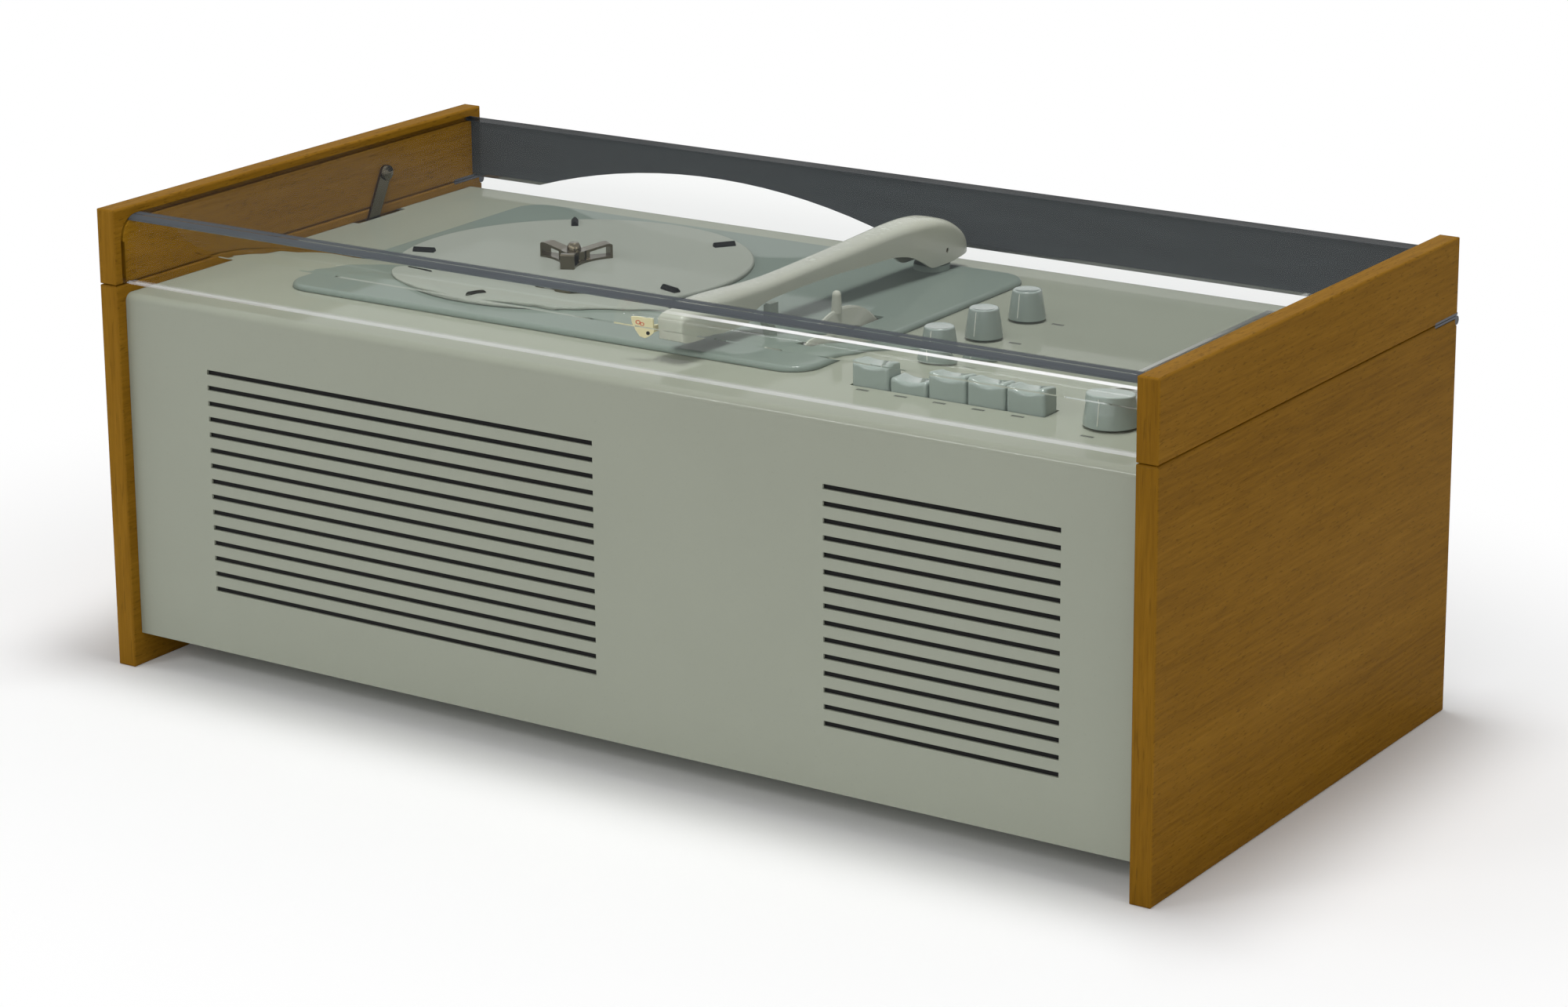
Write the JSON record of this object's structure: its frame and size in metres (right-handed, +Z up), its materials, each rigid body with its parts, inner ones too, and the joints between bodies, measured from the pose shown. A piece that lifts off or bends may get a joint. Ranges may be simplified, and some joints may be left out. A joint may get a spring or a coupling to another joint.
{
  "type": "radiogram",
  "caption": "Table radiogram with wooden sides, a slotted sheet case, a hinged clear lid, a record player with a swinging arm, and knobs and keys on its deck.",
  "frame": {"origin": "middle of the floor outline, on the floor under the two wooden sides", "axes": "+X to the right seen from the front, +Y to the back, +Z up; the slotted panel faces -Y"},
  "size_m": [0.58, 0.292, 0.2318],
  "materials": {
    "wood": "satin",
    "case_paint": "satin",
    "plate_paint": "satin",
    "rest_plastic": "satin",
    "platter_paint": "satin",
    "key_plastic": "gloss",
    "cream_plastic": "satin",
    "ivory_plastic": "satin",
    "clear_plastic": "clear gloss",
    "black_rubber": "matt",
    "steel": "satin",
    "brass": "machined",
    "dark_board": "matt",
    "dark_cloth": "woven",
    "cone_paper": "felted paper",
    "dark_steel": "satin",
    "pickup_plastic": "matt",
    "valve_glass": "clear",
    "light_metal": "plain",
    "bezel_metal": "satin",
    "white_plastic": "matt",
    "red_plastic": "satin",
    "socket_plastic": "matt"
  },
  "bodies": {
    "cabinet": {"side_left_lower": "wood", "side_right_lower": "wood", "case_shell": "case_paint", "base_plate": "case_paint", "rear_cover": "dark_board", "cover_screws": "steel", "hinge_lower": "dark_steel", "turntable_plate": "plate_paint", "plate_springs": "steel", "platter_bearing": "steel", "motor": "steel", "pivot_base": "plate_paint", "arm_rest": "rest_plastic", "selector_bracket": "steel", "control_pots": "steel", "key_bank": "steel", "chassis": "steel", "valves": "valve_glass", "mains_transformer": "dark_steel", "output_transformer": "dark_steel", "if_cans": "light_metal", "smoothing_can": "light_metal", "gang_frame": "light_metal", "speaker_frame": "dark_steel", "speaker_cone": "cone_paper", "speaker_baffle": "dark_board", "grille_cloth": "dark_cloth", "dial_bezel": "bezel_metal", "dial_strip": "clear_plastic", "dial_tray": "white_plastic", "socket_panel": "socket_plastic"},
    "lid": {"side_left_upper": "wood", "side_right_upper": "wood", "lid_sheet": "clear_plastic", "hinge_upper": "dark_steel", "stay_screw": "steel"},
    "stay": {"stay_arm": "steel"},
    "platter_group": {"platter": "platter_paint", "platter_pads": "black_rubber", "centre_adapter": "steel", "spindle_shaft": "steel"},
    "idler": {"idler_wheel": "black_rubber"},
    "motor_shaft": {"motor_pulley": "brass"},
    "arm_turn": {"pivot_yoke": "steel"},
    "arm": {"tonearm_shell": "cream_plastic", "cartridge": "pickup_plastic", "lift_pin": "steel"},
    "stylus": {"stylus_lever": "ivory_plastic"},
    "selector": {"selector_wheel": "cream_plastic"},
    "volume": {"knob_volume": "key_plastic"},
    "bass": {"knob_bass": "key_plastic"},
    "treble": {"knob_treble": "key_plastic"},
    "tuning": {"knob_tuning": "key_plastic"},
    "gang": {"gang_rotor": "light_metal"},
    "pointer": {"dial_pointer": "red_plastic"},
    "key1": {"key_1": "key_plastic"},
    "key2": {"key_2": "key_plastic"},
    "key3": {"key_3": "key_plastic"},
    "key4": {"key_4": "key_plastic"},
    "key5": {"key_5": "key_plastic"}
  },
  "joints": [
    {"name": "lid_hinge", "type": "hinge", "parent": "cabinet", "child": "lid", "pos_m": [0, 0.1448, 0.19195], "axis": [-1, 0, 0], "range_deg": [0, 65]},
    {"name": "stay_swing", "type": "hinge", "parent": "lid", "child": "stay", "pos_m": [-0.2781, 0.0616, 0.2113], "axis": [1, 0, 0], "range_deg": [0, 56]},
    {"name": "platter_spin", "type": "hinge", "parent": "cabinet", "child": "platter_group", "pos_m": [-0.122, 0.014, 0.1804], "axis": [0, 0, -1], "continuous": true},
    {"name": "idler_spin", "type": "hinge", "parent": "cabinet", "child": "idler", "pos_m": [-0.0628, 0.03555, 0.1804], "axis": [0, 0, -1], "continuous": true},
    {"name": "motor_spin", "type": "hinge", "parent": "cabinet", "child": "motor_shaft", "pos_m": [-0.07228, 0.05197, 0.15], "axis": [0, 0, -1], "continuous": true},
    {"name": "arm_swing", "type": "hinge", "parent": "cabinet", "child": "arm_turn", "pos_m": [0.031, 0.101, 0.1922], "axis": [0, 0, -1], "range_deg": [0, 38]},
    {"name": "arm_lift", "type": "hinge", "parent": "arm_turn", "child": "arm", "pos_m": [0.031, 0.101, 0.2025], "axis": [-0.9977, 0.068, 0], "range_deg": [0, 3]},
    {"name": "stylus_turn", "type": "hinge", "parent": "arm", "child": "stylus", "pos_m": [0.01781, -0.09255, 0.2036], "axis": [-0.9977, 0.068, 0], "range_deg": [0, 180]},
    {"name": "selector_turn", "type": "hinge", "parent": "cabinet", "child": "selector", "pos_m": [0.057, -0.022, 0.159], "axis": [1, 0, 0], "range_deg": [-12, 12]},
    {"name": "volume_turn", "type": "hinge", "parent": "cabinet", "child": "volume", "pos_m": [0.1155, -0.0305, 0.19], "axis": [0, 0, -1], "range_deg": [0, 270]},
    {"name": "bass_turn", "type": "hinge", "parent": "cabinet", "child": "bass", "pos_m": [0.1155, 0.0089, 0.19], "axis": [0, 0, -1], "range_deg": [-135, 135]},
    {"name": "treble_turn", "type": "hinge", "parent": "cabinet", "child": "treble", "pos_m": [0.1155, 0.0483, 0.19], "axis": [0, 0, -1], "range_deg": [-135, 135]},
    {"name": "tuning_turn", "type": "hinge", "parent": "cabinet", "child": "tuning", "pos_m": [0.236, -0.087, 0.19], "axis": [0, 0, -1], "range_deg": [-720, 720]},
    {"name": "gang_turn", "type": "hinge", "parent": "cabinet", "child": "gang", "pos_m": [0.23, 0.038, 0.16], "axis": [0, 0, -1], "range_deg": [-90, 90]},
    {"name": "pointer_slide", "type": "slide", "parent": "cabinet", "child": "pointer", "axis": [0, 1, 0], "range_m": [-0.075, 0.075]},
    {"name": "key_1_press", "type": "slide", "parent": "cabinet", "child": "key1", "axis": [0, 0, 1], "range_m": [-0.0045, 0], "stiffness_N_per_m": 100, "springref_m": 0.002},
    {"name": "key_2_press", "type": "slide", "parent": "cabinet", "child": "key2", "axis": [0, 0, 1], "range_m": [0, 0.0045]},
    {"name": "key_3_press", "type": "slide", "parent": "cabinet", "child": "key3", "axis": [0, 0, 1], "range_m": [-0.0045, 0], "stiffness_N_per_m": 100, "springref_m": 0.002},
    {"name": "key_4_press", "type": "slide", "parent": "cabinet", "child": "key4", "axis": [0, 0, 1], "range_m": [-0.0045, 0], "stiffness_N_per_m": 100, "springref_m": 0.002},
    {"name": "key_5_press", "type": "slide", "parent": "cabinet", "child": "key5", "axis": [0, 0, 1], "range_m": [-0.0045, 0], "stiffness_N_per_m": 100, "springref_m": 0.002}
  ],
  "couplings": [
    {"joint": "stay_swing", "follows": "lid_hinge", "ratio": 0.86},
    {"joint": "idler_spin", "follows": "platter_spin", "ratio": 4.7904},
    {"joint": "motor_spin", "follows": "platter_spin", "ratio": -40.816},
    {"joint": "gang_turn", "follows": "tuning_turn", "ratio": 0.125},
    {"joint": "pointer_slide", "follows": "tuning_turn", "m_per_rad": 0.005968}
  ]
}
